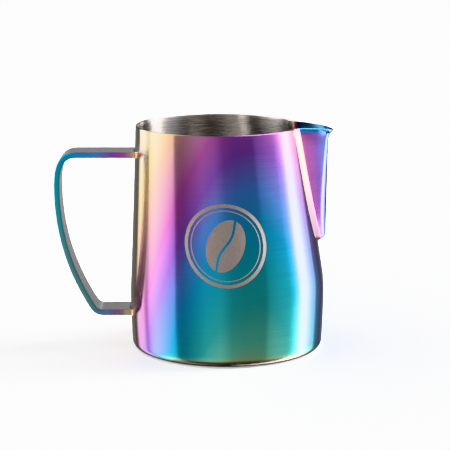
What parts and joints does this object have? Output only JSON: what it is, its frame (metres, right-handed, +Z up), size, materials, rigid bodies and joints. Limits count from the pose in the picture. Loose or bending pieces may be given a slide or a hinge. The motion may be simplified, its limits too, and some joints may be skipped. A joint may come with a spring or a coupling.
{
  "type": "milk frothing pitcher",
  "caption": "Steel milk pitcher for a coffee bar: round cup narrowing upwards, folded pouring spout welded into its wall, and a bent flat-bar handle.",
  "frame": {"origin": "centre of the base on the cup's axis, on the surface that the pitcher stands on", "axes": "+Z up along the cup, +X towards the pouring spout with the handle at -X, +Y to the side"},
  "size_m": [0.1328, 0.093, 0.1076],
  "materials": {
    "coated_steel": "satin, iridescent oxide coating",
    "bare_steel": "fine brushed"
  },
  "bodies": {
    "root": {"cup_body": "coated_steel", "spout": "coated_steel", "handle_strap": "coated_steel", "handle_weld_upper": "coated_steel", "handle_weld_lower": "coated_steel", "spout_weld": "bare_steel"}
  },
  "joints": []
}
